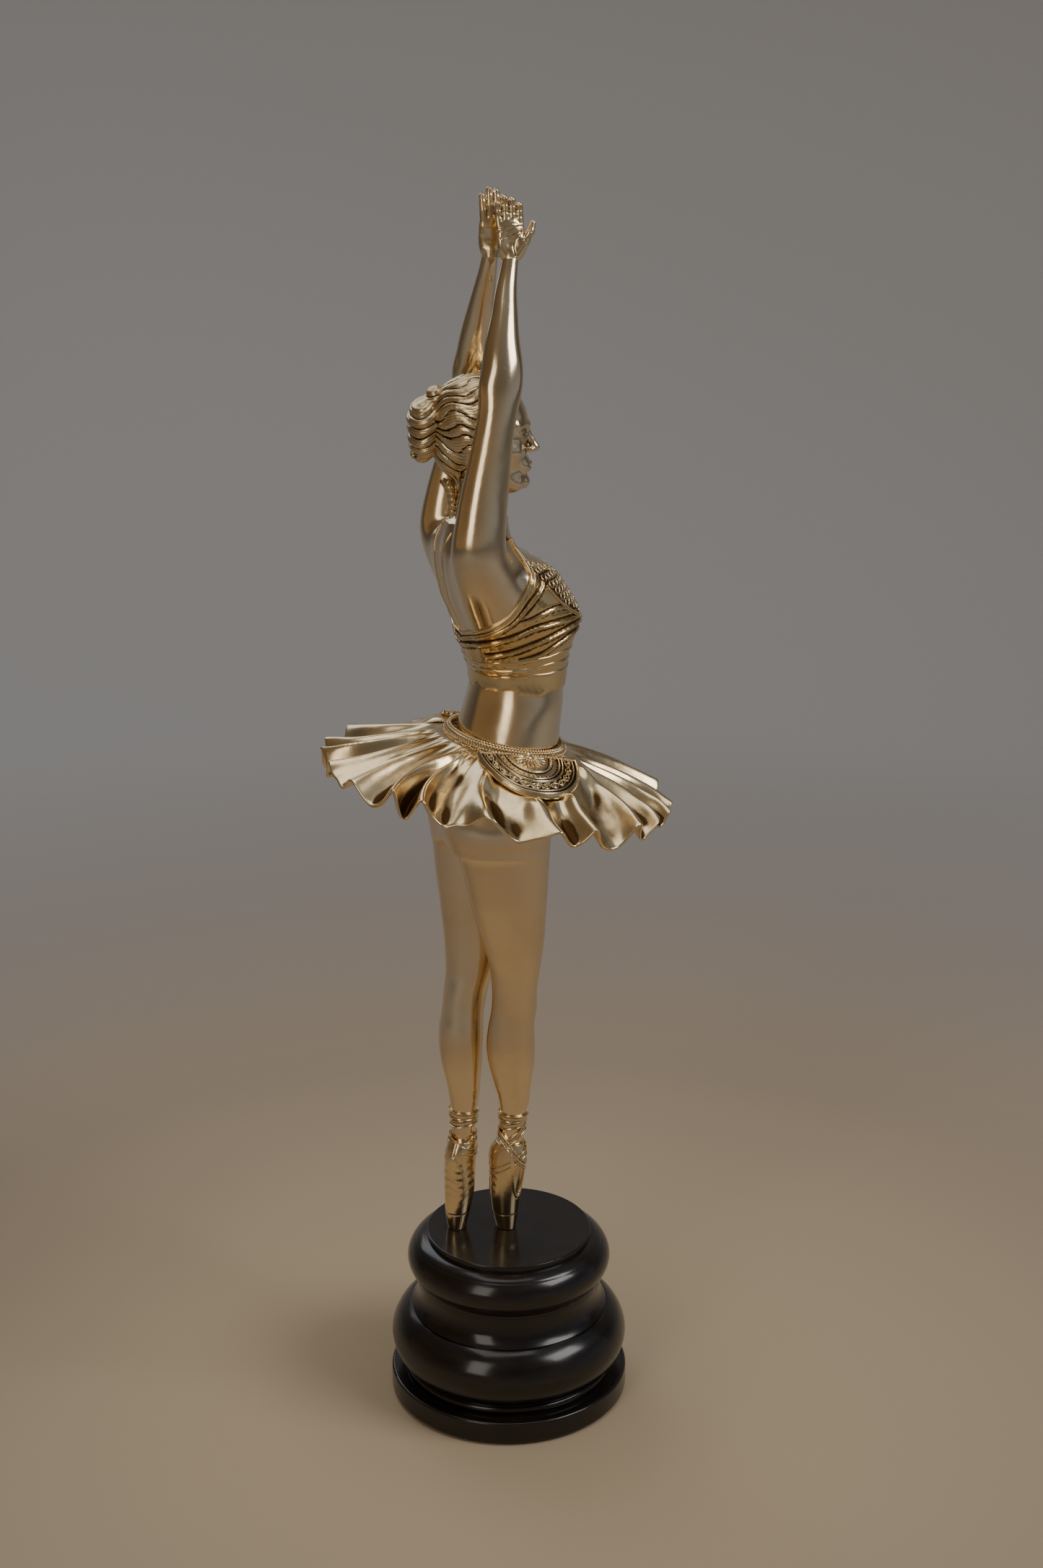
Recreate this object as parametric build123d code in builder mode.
"""A cast bronze dancer on a turned wooden base.

The figure stands on the tips of both feet, the right foot in front, with the arms raised and
the backs of the hands together. It is cast in hollow and solid sections that are pinned and
brazed, and two threaded studs hold it to a base of four turned layers.

+Z is up, the dancer faces -Y, and the figure's left is +X. The origin is the centre of the
felt's underside, where the base rests. Lengths are in millimetres.
"""

import os
from math import atan, cos, pi, radians, sin, tan

from build123d import *

# ---------------------------------------------------------------- driving dimensions
base_radius = 70.0            # plinth, the widest turned layer
felt_thickness = 1.5
felt_inset = 2.5              # the felt stops short of the plinth's edge
plinth_top = 14.8             # heights of the four layers' tops above the table
bun_top = 73.0
collar_top = 99.3
cap_top = 103.3
bun_inset = 0.6               # each layer's radius is this much less than the plinth's
collar_inset = 10.4
cap_inset = 21.9
edge_round = 1.5
spigot_radius = 18.0          # turned spigots that centre the layers on each other
spigot_height = 2.0
joint_clearance = 0.2         # between a spigot and its socket

figure_height = 592.0         # from the cap to the fingertips
casting_wall = 3.0
seam_gap = 0.3                # solder gap under trim that lies on a curved surface

stud_radius = 2.5
stud_clearance = 0.25
stud_into_shoe = 20.0
nut_across_flats = 8.0
nut_height = 4.0
washer_radius = 7.0
washer_thickness = 1.2
recess_radius = 9.0
recess_depth = 9.0

dowel_clearance = 0.05
dowel_length = 24.0
ankle_dowel = 2.0             # dowel radii
shoulder_dowel = 3.0
neck_dowel = 4.0
wrist_dowel = 1.2

skirt_radius = 100.0
skirt_thickness = 2.2
skirt_droop = 25.0            # mean height lost from the flat ring to the rim
skirt_tilt = 10.4             # degrees, higher at the back
skirt_flat_radius = 40.0      # the pleats start here
pleat_count = 24
pleat_depth = 7.0             # ridge above the mean surface, at the rim

belt_width = 2.7
belt_height = 4.5
plaque_length = 37.0          # from the belt outwards
plaque_half_width = 28.5
plaque_thickness = 2.0
trim_thickness = 1.2          # ribbons, piping and the lace panel
hair_thickness = 1.6

# ---------------------------------------------------------------- derived values
scale = figure_height / 592.0  # the lists below are drawn for a 592 mm figure
os.makedirs("parts", exist_ok=True)


def level(height):
    """Height above the table of a point that is drawn height mm above the cap."""
    return cap_top + height * scale


def save(piece, name):
    """Labels a finished piece and writes its STEP file."""
    piece.part.label = name
    export_step(piece.part, f"parts/{name}.step")


def sections(rows, grow=0.0, turn=0.0):
    """Elliptical faces (height, x, y, half width, half depth) that a loft joins."""
    faces = []
    for height, x, y, wide, deep in rows:
        with BuildSketch(Plane.XY.offset(level(height))) as section:
            with Locations((x * scale, y * scale)):
                Ellipse(wide * scale + grow, deep * scale + grow, rotation=turn)
        faces.append(section.sketch)
    return faces


def post(x, y, low, high, radius, mode=Mode.SUBTRACT):
    """A vertical round hole or pin from low to high in the part that is being built."""
    with BuildSketch(Plane.XY.offset(low)) as circle:
        with Locations((x, y)):
            Circle(radius)
    extrude(circle.sketch, amount=high - low, mode=mode)


# ---------------------------------------------------------------- section lists
# Each row is height above the cap, x, y, half width and half depth.
RIGHT_SHOE = [
    (0.0, 0.5, 1.4, 4.2, 3.6), (4.0, 0.6, 1.6, 5.6, 5.0), (12.0, 0.4, 2.0, 7.0, 6.6),
    (24.0, -0.3, 2.3, 8.6, 8.0), (36.0, -1.2, 1.6, 9.8, 8.4), (47.0, -2.0, 0.8, 11.4, 8.0),
    (52.0, -2.4, 0.2, 10.2, 7.6), (57.0, -2.8, -1.0, 7.0, 6.6),
]
LEFT_SHOE = [
    (0.0, 7.9, 29.3, 4.2, 3.6), (4.0, 7.9, 29.2, 5.6, 5.0), (12.0, 8.1, 28.6, 7.0, 6.6),
    (24.0, 8.4, 27.6, 8.6, 8.0), (36.0, 8.8, 27.2, 9.6, 8.4), (47.0, 9.1, 26.6, 11.0, 8.2),
    (52.0, 9.2, 25.8, 10.2, 7.8), (57.0, 9.4, 24.8, 7.0, 6.8),
]
RIGHT_LEG = [
    (57.0, -2.8, -1.0, 6.6, 7.0), (71.0, -3.8, -1.5, 6.8, 7.2), (83.0, -4.5, -2.3, 8.0, 8.7),
    (95.0, -5.3, -1.1, 9.8, 10.8), (107.0, -6.3, -0.6, 11.6, 12.8),
    (119.0, -7.2, 0.2, 12.4, 13.6), (131.0, -8.0, 0.3, 12.2, 13.3),
    (153.0, -10.0, -0.7, 11.6, 12.3), (169.0, -11.9, -1.0, 11.7, 13.7),
    (188.0, -14.5, 1.0, 13.8, 17.2), (211.0, -16.8, 4.1, 16.0, 21.3),
    (233.0, -18.4, 6.0, 17.4, 24.2), (249.0, -19.0, 7.0, 18.0, 25.0),
]
LEFT_LEG = [
    (57.0, 9.4, 24.8, 6.8, 7.0), (70.0, 9.7, 24.3, 7.0, 7.4), (81.0, 10.0, 23.8, 8.3, 8.6),
    (92.0, 10.6, 24.2, 9.8, 10.0), (103.0, 11.3, 24.6, 11.3, 11.6),
    (115.0, 11.8, 24.8, 12.0, 12.4), (126.0, 12.3, 24.5, 12.0, 12.8),
    (147.0, 13.5, 22.6, 11.6, 12.1), (159.0, 14.3, 18.9, 12.3, 13.8),
    (179.0, 15.8, 15.3, 14.2, 17.5), (200.0, 17.2, 13.7, 16.0, 21.0),
    (221.0, 18.5, 13.2, 17.4, 24.0), (249.0, 19.0, 12.0, 18.0, 25.0),
]
HIPS = [
    (249.0, 0.0, 9.5, 38.0, 30.0), (255.0, 0.0, 8.6, 37.6, 29.8), (277.0, 0.0, 4.5, 35.4, 28.6),
    (300.0, 0.0, 2.0, 34.0, 28.0), (314.0, 0.0, 0.8, 33.0, 27.4),
    (328.0, 0.0, -2.5, 30.0, 26.0), (336.0, 0.0, -5.0, 28.8, 25.2),
]
TORSO = [
    (336.0, 0.0, -5.0, 28.8, 25.2), (341.0, 0.0, -5.2, 28.8, 25.4),
    (350.0, 0.0, -3.8, 31.0, 28.0), (362.0, 0.0, -3.0, 34.5, 30.4),
    (380.0, 0.0, 1.0, 38.5, 33.4), (392.0, 0.0, 5.1, 40.0, 31.0),
    (400.0, 0.0, 10.5, 40.0, 27.5),
]
NECK = [
    (400.0, 0.0, 14.0, 36.0, 23.0), (407.0, 0.0, 16.0, 30.0, 20.0),
    (414.0, 0.0, 17.0, 21.0, 17.5), (421.0, 0.0, 16.0, 14.5, 15.0),
    (430.0, 0.0, 15.0, 12.5, 13.5),
]
RIGHT_SHOULDER = [
    (374.0, -24.0, 8.0, 10.0, 12.0), (388.0, -30.0, 17.0, 12.5, 14.5),
    (400.0, -35.5, 23.0, 13.2, 15.0), (414.0, -38.0, 26.0, 12.0, 13.8),
]
LEFT_SHOULDER = [
    (374.0, 24.0, 8.0, 10.0, 12.0), (388.0, 30.0, 17.0, 12.5, 14.5),
    (400.0, 35.5, 23.0, 13.2, 15.0), (414.0, 38.0, 25.5, 12.0, 13.8),
]
HEAD = [
    (430.0, 0.0, 15.0, 12.5, 13.5), (437.5, -0.4, 12.6, 14.5, 18.5),
    (447.0, -0.4, 13.0, 19.0, 24.0), (459.0, 0.0, 14.0, 22.0, 26.8),
    (472.0, 0.2, 15.0, 23.0, 27.2), (484.0, 0.4, 16.0, 21.0, 24.5),
    (493.0, 0.6, 17.5, 15.0, 17.5), (498.0, 0.8, 18.5, 5.0, 6.0),
]
CHIGNON = [
    (452.0, 6.4, 37.5, 4.0, 3.6), (457.0, 6.6, 38.5, 11.0, 8.6), (465.0, 6.9, 39.6, 14.2, 10.6),
    (473.0, 6.9, 39.8, 14.6, 11.2), (481.0, 6.6, 38.8, 12.8, 10.0), (487.5, 6.2, 36.5, 7.0, 6.5),
]
HAIR_TRESS = [
    (417.0, 1.8, 32.4, 1.2, 1.1), (424.0, 2.4, 31.4, 3.2, 2.2), (432.0, 3.4, 31.2, 4.4, 3.0),
    (440.0, 4.6, 33.0, 5.0, 3.6), (447.0, 5.6, 36.6, 4.6, 3.6),
]
RIGHT_ARM = [
    (414.0, -38.0, 26.0, 12.0, 13.8), (432.0, -37.5, 23.0, 10.4, 12.2),
    (457.0, -36.2, 19.5, 9.0, 10.8), (482.0, -34.8, 14.2, 8.3, 10.3),
    (495.0, -33.0, 12.0, 8.5, 10.5), (507.0, -29.5, 10.6, 8.7, 10.2),
    (519.0, -25.0, 9.3, 7.9, 8.8), (531.0, -20.0, 6.4, 6.6, 6.9),
    (543.0, -14.0, 4.6, 5.4, 5.8), (552.0, -9.8, 1.3, 4.4, 4.8), (557.0, -8.2, 0.0, 3.9, 4.4),
]
LEFT_ARM = [
    (414.0, 38.0, 25.5, 12.0, 13.8), (432.0, 37.5, 22.0, 10.4, 12.2),
    (457.0, 36.2, 17.0, 9.0, 10.8), (482.0, 34.8, 12.0, 8.3, 10.3),
    (495.0, 33.0, 10.2, 8.5, 10.5), (507.0, 29.5, 10.0, 8.7, 10.2),
    (519.0, 25.0, 9.5, 7.9, 8.8), (531.0, 20.0, 9.0, 6.6, 6.9),
    (543.0, 14.0, 8.2, 5.4, 5.8), (552.0, 9.8, 7.3, 4.4, 4.8), (557.0, 8.2, 6.8, 3.9, 4.4),
]
RIGHT_PALM = [
    (557.0, -8.2, 0.0, 3.8, 4.3), (563.0, -7.4, -1.0, 3.2, 6.0), (571.0, -6.6, -0.4, 3.0, 8.2),
    (577.0, -6.0, 0.4, 2.4, 8.0),
]
LEFT_PALM = [
    (557.0, 8.2, 6.8, 3.8, 4.3), (565.0, 7.4, 5.2, 3.2, 6.0), (575.0, 6.6, 4.6, 3.0, 8.2),
    (581.0, 6.0, 4.6, 2.4, 8.0),
]
head_turn = -15.0             # degrees, towards the right shoulder
foot_turn = 35.0              # degrees between each shoe's broad side and the X axis
ankle_height, hip_height, waist_height = 57.0, 249.0, 336.0
shoulder_height, neck_height, wrist_height = 414.0, 430.0, 557.0
thigh_floor = 160.0           # the thighs are hollow above this height
belt_level = 299.0
feet = {"right": (0.6 * scale, 1.6 * scale), "left": (7.9 * scale, 29.2 * scale)}
ankles = {"right": (-3.1 * scale, -1.1 * scale), "left": (9.5 * scale, 24.7 * scale)}
shoulders = {"right": (-38.0 * scale, 25.5 * scale), "left": (38.0 * scale, 25.0 * scale)}
wrists = {"right": (-8.1 * scale, -0.1 * scale), "left": (8.1 * scale, 6.7 * scale)}
seat_y = 2.0 * scale          # the skirt and belt sit on an elliptical seat round the hips
seat_wide = 35.6 * scale
seat_deep = 29.8 * scale
seat_rise = seat_deep * tan(radians(skirt_tilt))
skirt_plane = Plane(
    origin=(0, seat_y, level(belt_level)),
    x_dir=(1, 0, 0),
    z_dir=(0, -sin(radians(skirt_tilt)), cos(radians(skirt_tilt))),
)

# ---------------------------------------------------------------- base
with BuildPart() as felt_pad:
    Cylinder(base_radius - felt_inset, felt_thickness, align=(Align.CENTER, Align.CENTER, Align.MIN))
save(felt_pad, "felt_pad")


def stud_holes(low, high):
    """Cuts the clearance holes of both studs through a base layer."""
    for x, y in feet.values():
        post(x, y, low, high, stud_radius + stud_clearance)


with BuildPart() as base_plinth:
    with BuildSketch(Plane.XY.offset(felt_thickness)):
        Circle(base_radius)
    extrude(amount=plinth_top - felt_thickness)
    fillet(base_plinth.edges().filter_by(GeomType.CIRCLE), edge_round)
    post(0, 0, plinth_top - spigot_height, plinth_top, spigot_radius)
    stud_holes(felt_thickness, plinth_top)
    for foot_x, foot_y in feet.values():
        post(foot_x, foot_y, felt_thickness, felt_thickness + recess_depth, recess_radius)
save(base_plinth, "base_plinth")

bun_foot = base_radius - 10.0
bun_radius = base_radius - bun_inset
bun_middle = plinth_top + 22.8
bun_shoulder = bun_middle + 17.4
groove_radius = base_radius - 11.9
neck_radius = base_radius - 17.0
spigot = spigot_radius - joint_clearance
with BuildPart() as base_bun:
    with BuildSketch(Plane.XZ):
        with BuildLine():
            Polyline(
                (0, bun_top), (0, plinth_top - spigot_height), (spigot, plinth_top - spigot_height),
                (spigot, plinth_top), (bun_foot, plinth_top),
            )
            ThreePointArc(
                (bun_foot, plinth_top), (bun_foot + 1.4, plinth_top + 2.2),
                (bun_foot, plinth_top + 4.4),
            )
            Spline(
                (bun_foot, plinth_top + 4.4), (bun_radius - 1.9, bun_middle - 9.0),
                (bun_radius, bun_middle), (bun_radius - 3.4, bun_middle + 10.5),
                (groove_radius + 0.7, bun_shoulder),
            )
            Polyline(
                (groove_radius + 0.7, bun_shoulder), (groove_radius - 0.4, bun_shoulder + 0.1),
                (groove_radius - 0.4, bun_shoulder + 1.0),
            )
            ThreePointArc(
                (groove_radius - 0.4, bun_shoulder + 1.0),
                (neck_radius + 0.6, bun_shoulder + 7.4),
                (neck_radius, bun_top - 3.0),
            )
            Polyline((neck_radius, bun_top - 3.0), (neck_radius, bun_top), (0, bun_top))
        make_face()
    revolve()
    post(0, 0, bun_top - spigot_height, bun_top, spigot_radius)
    stud_holes(plinth_top - spigot_height, bun_top)
save(base_bun, "base_bun")

collar_radius = base_radius - collar_inset
cap_radius = base_radius - cap_inset
collar_foot = neck_radius + 0.8
with BuildPart() as base_collar:
    with BuildSketch(Plane.XZ):
        with BuildLine():
            Polyline(
                (0, collar_top), (0, bun_top - spigot_height), (spigot, bun_top - spigot_height),
                (spigot, bun_top), (collar_foot, bun_top), (collar_foot, bun_top + 1.5),
            )
            Spline(
                (collar_foot, bun_top + 1.5), (collar_radius - 1.3, bun_top + 8.0),
                (collar_radius, bun_top + 14.0), (collar_radius - 2.4, bun_top + 20.5),
                (cap_radius + 2.0, collar_top),
            )
            Line((cap_radius + 2.0, collar_top), (0, collar_top))
        make_face()
    revolve()
    post(0, 0, collar_top - spigot_height, collar_top, spigot_radius)
    stud_holes(bun_top - spigot_height, collar_top)
save(base_collar, "base_collar")

with BuildPart() as base_cap:
    with BuildSketch(Plane.XY.offset(collar_top)):
        Circle(cap_radius)
    extrude(amount=cap_top - collar_top)
    fillet(base_cap.edges().group_by(Axis.Z)[-1], edge_round / 2)
    post(0, 0, collar_top - spigot_height, collar_top, spigot, mode=Mode.ADD)
    stud_holes(collar_top - spigot_height, cap_top)
save(base_cap, "base_cap")

# ---------------------------------------------------------------- fixings
washer_low = felt_thickness + recess_depth - washer_thickness
nut_low = washer_low - nut_height
stud_top = cap_top + stud_into_shoe
for side, (foot_x, foot_y) in feet.items():
    with BuildPart() as stud:
        post(foot_x, foot_y, felt_thickness + 1.5, stud_top, stud_radius, mode=Mode.ADD)
        chamfer(stud.edges().filter_by(GeomType.CIRCLE), stud_radius / 5)
    save(stud, f"foot_stud_{side}")

with BuildPart() as stud_washers:
    with BuildSketch(Plane.XY.offset(washer_low)):
        with Locations(*feet.values()):
            Circle(washer_radius)
            Circle(stud_radius + stud_clearance, mode=Mode.SUBTRACT)
    extrude(amount=washer_thickness)
save(stud_washers, "stud_washers")

with BuildPart() as stud_nuts:
    with BuildSketch(Plane.XY.offset(nut_low)):
        with Locations(*feet.values()):
            RegularPolygon(nut_across_flats / 2, 6, major_radius=False)
            Circle(stud_radius + dowel_clearance, mode=Mode.SUBTRACT)
    extrude(amount=nut_height)
save(stud_nuts, "stud_nuts")


def dowel_pins(name, places, height, radius):
    """Locating pins that cross the joint at a height, half in each casting."""
    with BuildPart() as pins:
        for x, y in places:
            post(x, y, level(height) - dowel_length / 2, level(height) + dowel_length / 2,
                 radius, mode=Mode.ADD)
    save(pins, name)


def dowel_hole(place, height, radius):
    """The socket of one pin, in whichever of its two castings is being built."""
    half = dowel_length / 2 + dowel_clearance
    post(*place, level(height) - half, level(height) + half, radius + dowel_clearance)


# ---------------------------------------------------------------- shoes, legs and ribbons
for side, rows, turn in (("right", RIGHT_SHOE, foot_turn), ("left", LEFT_SHOE, -foot_turn)):
    with BuildPart() as shoe:
        loft(sections(rows, turn=turn))
        post(*feet[side], cap_top, stud_top, stud_radius + dowel_clearance)
        dowel_hole(ankles[side], ankle_height, ankle_dowel)
    save(shoe, f"shoe_{side}")

for side, rows in (("right", RIGHT_LEG), ("left", LEFT_LEG)):
    with BuildPart() as leg:
        loft(sections(rows))
        loft(sections([row for row in rows if row[0] > thigh_floor], grow=-casting_wall),
             mode=Mode.SUBTRACT)
        dowel_hole(ankles[side], ankle_height, ankle_dowel)
    save(leg, f"leg_{side}")
    with BuildPart() as crossing:
        leg_x, leg_y = rows[1][1] * scale, rows[1][2] * scale
        for lean in (-32, 32):
            with Locations(Location((leg_x, leg_y, level(70.0)), (0, lean, 0))):
                Box(40 * scale, 40 * scale, 3.2 * scale)
        with Locations((leg_x, leg_y, level(76.0))):
            Box(40 * scale, 40 * scale, 6.0 * scale)
    with BuildPart() as ribbon:
        loft(sections(rows, grow=seam_gap + trim_thickness))
        loft(sections(rows, grow=seam_gap), mode=Mode.SUBTRACT)
        add(crossing.part, mode=Mode.INTERSECT)
    save(ribbon, f"ribbon_{side}")
dowel_pins("ankle_dowels", ankles.values(), ankle_height, ankle_dowel)

# ---------------------------------------------------------------- hips, belt and skirt
hip_spigot = 6.0
with BuildPart() as hips:
    loft(sections(HIPS))
    with BuildSketch(Plane.XY.offset(level(belt_level) - seat_rise - skirt_thickness - 1)) as seat:
        with Locations((0, seat_y)):
            Ellipse(seat_wide, seat_deep)
    extrude(seat.sketch, amount=2 * seat_rise + skirt_thickness + belt_height + 2)
    loft(sections(HIPS[1:], grow=-casting_wall), mode=Mode.SUBTRACT)
    for rows in (RIGHT_LEG, LEFT_LEG):
        top, leg_x, leg_y, wide, deep = rows[-1]
        inset = casting_wall + joint_clearance
        with BuildSketch(Plane.XY.offset(level(hip_height) - hip_spigot)) as tongue:
            with Locations((leg_x * scale, leg_y * scale)):
                Ellipse(wide * scale * 0.95 - inset, deep * scale * 0.95 - inset)
        extrude(tongue.sketch, amount=hip_spigot)
    with BuildSketch(Plane.XY.offset(level(waist_height) - casting_wall)) as collar:
        with Locations((0, HIPS[-1][2] * scale)):
            Ellipse(HIPS[-1][3] * scale - casting_wall - joint_clearance,
                    HIPS[-1][4] * scale - casting_wall - joint_clearance)
            Ellipse(HIPS[-1][3] * scale - 2 * casting_wall,
                    HIPS[-1][4] * scale - 2 * casting_wall, mode=Mode.SUBTRACT)
    extrude(collar.sketch, amount=casting_wall + hip_spigot)
save(hips, "hips")


def rim_height(angle):
    """Height of the pleated rim over the belt's plane; the pleats are uneven by design."""
    uneven = 0.85 + 0.15 * cos(5 * angle + 1.0)
    return pleat_depth * uneven * cos(pleat_count * angle) - skirt_droop


def skirt_profile(angle):
    """The skirt's section on the half plane at an angle round the belt."""
    rim = rim_height(angle)
    side = skirt_plane.location * Rot(0, 0, angle * 180 / pi) * Rot(90, 0, 0)
    with BuildSketch(Plane(side)) as profile:
        with BuildLine():
            Polyline(
                (seat_wide * 0.78, 0), (skirt_flat_radius, 0), (skirt_radius, rim),
                (skirt_radius + 0.6, rim - skirt_thickness / 2),
                (skirt_radius, rim - skirt_thickness), (skirt_flat_radius, -skirt_thickness),
                (seat_wide * 0.78, -skirt_thickness), close=True,
            )
        make_face()
    return profile.sketch


pleat = 2 * pi / pleat_count
with BuildPart() as skirt:
    for ridge in range(pleat_count):
        loft([skirt_profile(pleat * (ridge + step / 4)) for step in (-2, -1, 0, 1, 2)])
    with BuildSketch(Plane.XY.offset(level(belt_level) - 2 * seat_rise - skirt_thickness)) as bore:
        with Locations((0, seat_y)):
            Ellipse(seat_wide + seam_gap, seat_deep + seam_gap)
    extrude(bore.sketch, amount=4 * seat_rise + 2 * skirt_thickness, mode=Mode.SUBTRACT)
save(skirt, "skirt")

with BuildPart() as belt:
    with BuildSketch(skirt_plane):
        Ellipse(seat_wide + seam_gap + belt_width, seat_deep + seam_gap + belt_width)
    extrude(amount=belt_height)
    fillet(belt.edges().group_by(SortBy.LENGTH)[-1], belt_width / 3)
    extrude(bore.sketch, amount=6 * seat_rise + belt_height, mode=Mode.SUBTRACT)
save(belt, "belt")

ridge_slope = (skirt_droop - pleat_depth) / (skirt_radius - skirt_flat_radius)
for name, angle in (("right", 183), ("left", -3)):
    start = seat_wide + seam_gap + belt_width + 0.6
    rise = (skirt_flat_radius - start) * ridge_slope + seam_gap
    lean = atan(ridge_slope) * 180 / pi
    slope = Rot(0, 0, angle) * Pos(start, 0, rise) * Rot(0, lean, 0)
    plaque_plane = Plane(skirt_plane.location * slope)
    with BuildPart() as plaque:
        with BuildSketch(plaque_plane):
            Ellipse(plaque_length, plaque_half_width)
            with Locations((-plaque_length / 2, 0)):
                Rectangle(plaque_length, 2 * plaque_half_width, mode=Mode.SUBTRACT)
        extrude(amount=plaque_thickness)
        with BuildSketch(plaque_plane.offset(plaque_thickness - trim_thickness / 2)):
            Ellipse(plaque_length - 4 * trim_thickness, plaque_half_width - 4 * trim_thickness)
            Ellipse(plaque_length - 5 * trim_thickness, plaque_half_width - 5 * trim_thickness,
                    mode=Mode.SUBTRACT)
            with Locations((-plaque_length / 2 + 3 * trim_thickness, 0)):
                Rectangle(plaque_length, 2 * plaque_half_width, mode=Mode.SUBTRACT)
        extrude(amount=trim_thickness, mode=Mode.SUBTRACT)
    save(plaque, f"plaque_{name}")

# ---------------------------------------------------------------- torso and its trim
with BuildPart() as torso:
    loft(sections(TORSO))
    loft(sections(NECK))
    loft(sections(RIGHT_SHOULDER))
    loft(sections(LEFT_SHOULDER))
    loft(sections(TORSO[:-1], grow=-casting_wall), mode=Mode.SUBTRACT)
    for side, place in shoulders.items():
        dowel_hole(place, shoulder_height, shoulder_dowel)
    dowel_hole((0, NECK[-1][2] * scale), neck_height, neck_dowel)
save(torso, "torso")
dowel_pins("shoulder_dowels", shoulders.values(), shoulder_height, shoulder_dowel)
dowel_pins("neck_dowel", [(0, NECK[-1][2] * scale)], neck_height, neck_dowel)


def dress_shell():
    """A thin skin round the torso, one solder gap off it."""
    with BuildPart() as shell:
        loft(sections(TORSO, grow=seam_gap + trim_thickness))
        loft(sections(TORSO, grow=seam_gap), mode=Mode.SUBTRACT)
    return shell.part


chest_y, chest_level = TORSO[4][2] * scale, level(TORSO[4][0])
with BuildPart() as lace_panel:
    add(dress_shell())
    with Locations((0, chest_y - 40 * scale, chest_level + 2 * scale)):
        Box(46 * scale, 60 * scale, 26 * scale, mode=Mode.INTERSECT)
    for row in range(4):
        for column in range(-3, 4):
            hole_x = (column + row % 2 / 2) * 6.0 * scale
            hole_z = chest_level + (row - 1.3) * 5.6 * scale
            with Locations(Location((hole_x, chest_y - 30 * scale, hole_z), (90, 0, 0))):
                Cylinder(1.5 * scale, 30 * scale, mode=Mode.SUBTRACT)
save(lace_panel, "lace_panel")

with BuildPart() as sash_slabs:
    for lift in (0, 5.0, 10.0):
        with Locations(Location((0, 0, level(waist_height + 7.0 + lift)), (4, 0, 0))):
            Box(100 * scale, 100 * scale, 3.0 * scale)
with BuildPart() as sash:
    add(dress_shell())
    add(sash_slabs.part, mode=Mode.INTERSECT)
save(sash, "sash")

button_pitch = 4.2 * scale
with BuildPart() as front_buttons:
    for count in range(4):
        button_z = level(HIPS[4][0] + 3.0) + count * button_pitch
        fraction = (button_z - level(HIPS[4][0])) / (level(waist_height) - level(HIPS[4][0]))
        front = (HIPS[4][2] - HIPS[4][4]) + fraction * (
            HIPS[-1][2] - HIPS[-1][4] - HIPS[4][2] + HIPS[4][4])
        with Locations((0, front * scale - trim_thickness, button_z)):
            Sphere(trim_thickness + seam_gap)
    loft(sections(HIPS, grow=seam_gap), mode=Mode.SUBTRACT)
save(front_buttons, "front_buttons")

# ---------------------------------------------------------------- head and hair
turn = radians(head_turn)
face_x, face_y = sin(turn), -cos(turn)
head_axis = (HEAD[4][1] * scale, HEAD[4][2] * scale)
face_reach = HEAD[4][4] * scale
with BuildPart() as head:
    loft(sections(HEAD, turn=head_turn))
    for forward, height, low, high, radius in (
        (0.93, 461.0, 0.0, 9.0, 2.6), (0.86, 449.5, 0.0, 3.0, 4.4), (0.78, 441.5, 0.0, 4.0, 5.2),
    ):
        centre = (head_axis[0] + face_x * face_reach * forward,
                  head_axis[1] + face_y * face_reach * forward)
        with BuildSketch(Plane.XY.offset(level(height - high / 2))) as lower:
            with Locations(centre):
                Circle(radius * scale)
        with BuildSketch(Plane.XY.offset(level(height + high))) as upper:
            with Locations((centre[0] - face_x * 2 * scale, centre[1] - face_y * 2 * scale)):
                Circle(radius * scale / 3)
        loft([lower.sketch, upper.sketch])
    dowel_hole((0, NECK[-1][2] * scale), neck_height, neck_dowel)
save(head, "head")

hairline = Location(
    (head_axis[0] + face_x * 27 * scale, head_axis[1] + face_y * 27 * scale, level(455.0)),
    (0, 0, head_turn),
)
with BuildPart() as hair_cap:
    loft(sections(HEAD[1:], grow=seam_gap + hair_thickness, turn=head_turn))
    loft(sections(HEAD, grow=seam_gap, turn=head_turn), mode=Mode.SUBTRACT)
    with Locations(hairline * Rot(-28, 0, 0)):
        Box(80 * scale, 38 * scale, 90 * scale, mode=Mode.SUBTRACT)
    with Locations((0, HEAD[1][2] * scale, level(430.0))):
        Box(90 * scale, 90 * scale, 34 * scale, mode=Mode.SUBTRACT)
save(hair_cap, "hair_cap")

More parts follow.
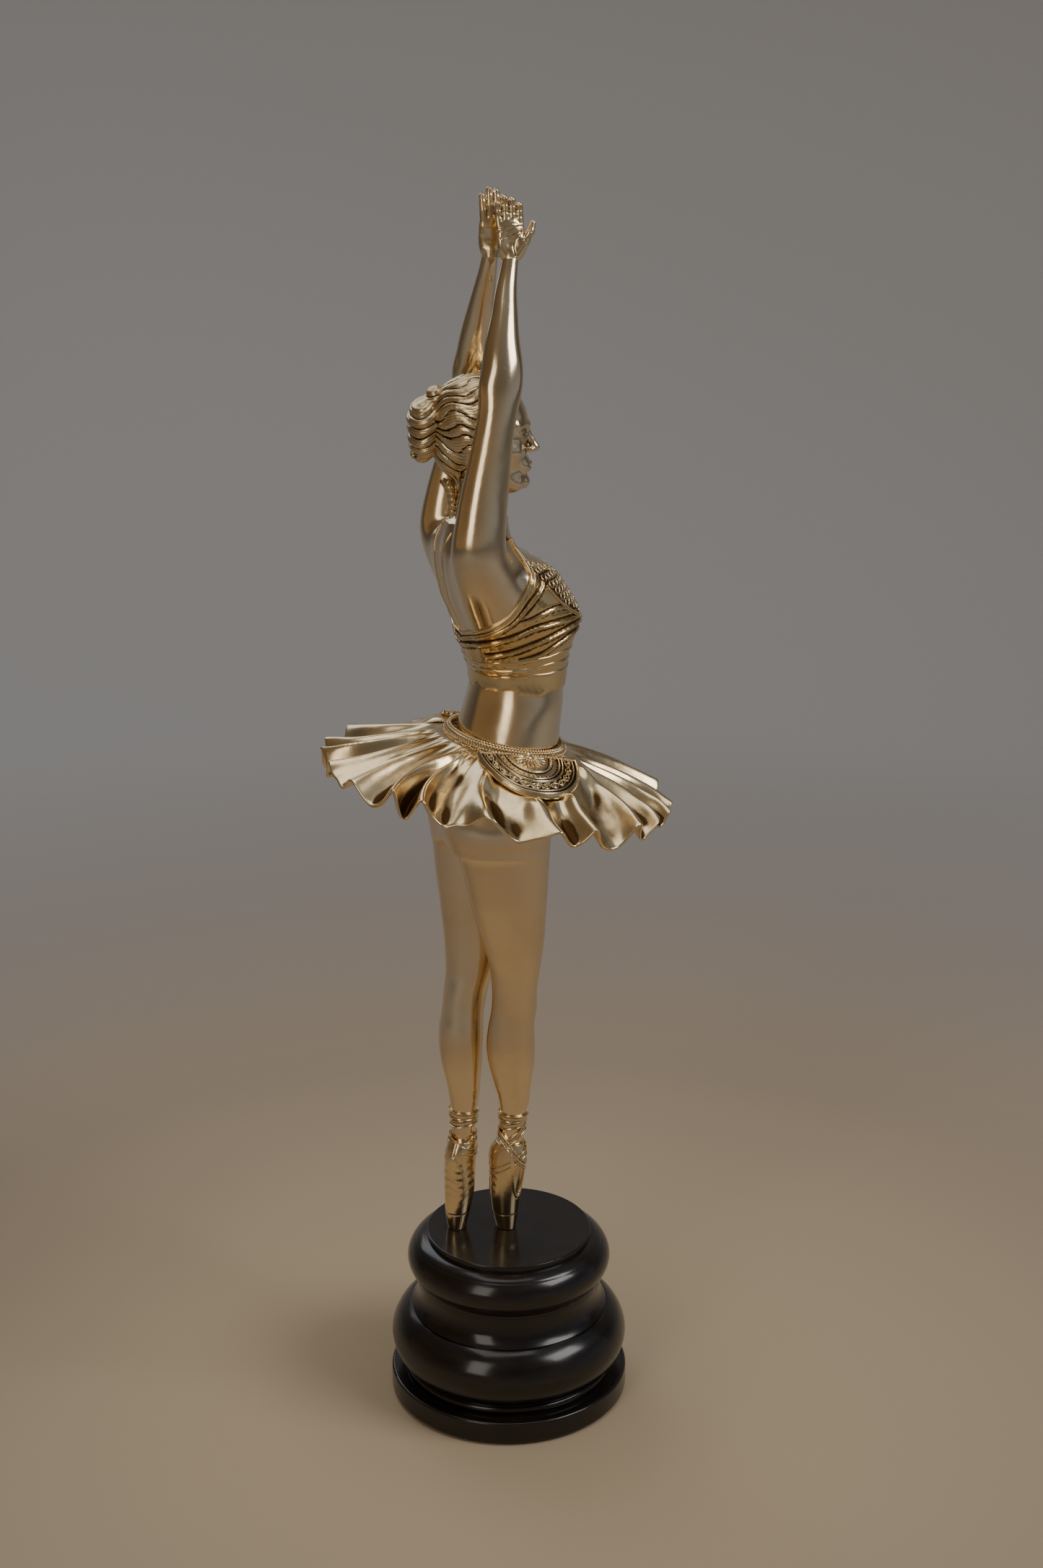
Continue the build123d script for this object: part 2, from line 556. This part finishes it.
with BuildPart() as chignon:
    loft(sections(CHIGNON, turn=head_turn))
    loft(sections(HEAD[1:], grow=2 * seam_gap + hair_thickness, turn=head_turn),
         mode=Mode.SUBTRACT)
save(chignon, "chignon")

with BuildPart() as hair_tress:
    loft(sections(HAIR_TRESS, turn=head_turn))
    loft(sections(HEAD, grow=2 * seam_gap + hair_thickness, turn=head_turn), mode=Mode.SUBTRACT)
    loft(sections(NECK, grow=seam_gap), mode=Mode.SUBTRACT)
    loft(sections(CHIGNON, grow=seam_gap, turn=head_turn), mode=Mode.SUBTRACT)
save(hair_tress, "hair_tress")

# ---------------------------------------------------------------- arms and hands
for side, rows in (("right", RIGHT_ARM), ("left", LEFT_ARM)):
    with BuildPart() as arm:
        loft(sections(rows))
        dowel_hole(shoulders[side], shoulder_height, shoulder_dowel)
        dowel_hole(wrists[side], wrist_height, wrist_dowel)
    save(arm, f"arm_{side}")
dowel_pins("wrist_dowels", wrists.values(), wrist_height, wrist_dowel)

FINGERS = ((-6.0, 11.0, 1.7), (-2.0, 13.6, 1.8), (2.0, 12.4, 1.8), (6.0, 9.6, 1.6))
for side, rows, outward in (("right", RIGHT_PALM, -1), ("left", LEFT_PALM, 1)):
    top, palm_x, palm_y, palm_thick, palm_deep = rows[-1]
    with BuildPart() as hand:
        loft(sections(rows))
        for finger_y, length, radius in FINGERS:
            lean = finger_y * 1.2
            knuckle = Location(
                (palm_x * scale, (palm_y + finger_y) * scale, level(top - 2.0)), (-lean, 0, 0),
            )
            with Locations(knuckle):
                Cone(radius * scale, radius * scale * 0.7, length * scale,
                     align=(Align.CENTER, Align.CENTER, Align.MIN))
            with Locations(knuckle * Pos(0, 0, length * scale)):
                Sphere(radius * scale * 0.7)
        thumb = Location(
            ((palm_x + outward * 1.2) * scale, (palm_y - 6.0) * scale, level(top - 13.0)),
            (34, outward * 10, 0),
        )
        with Locations(thumb):
            Cone(2.1 * scale, 1.5 * scale, 11.0 * scale,
                 align=(Align.CENTER, Align.CENTER, Align.MIN))
        with Locations(thumb * Pos(0, 0, 11.0 * scale)):
            Sphere(1.5 * scale)
        dowel_hole(wrists[side], wrist_height, wrist_dowel)
    save(hand, f"hand_{side}")
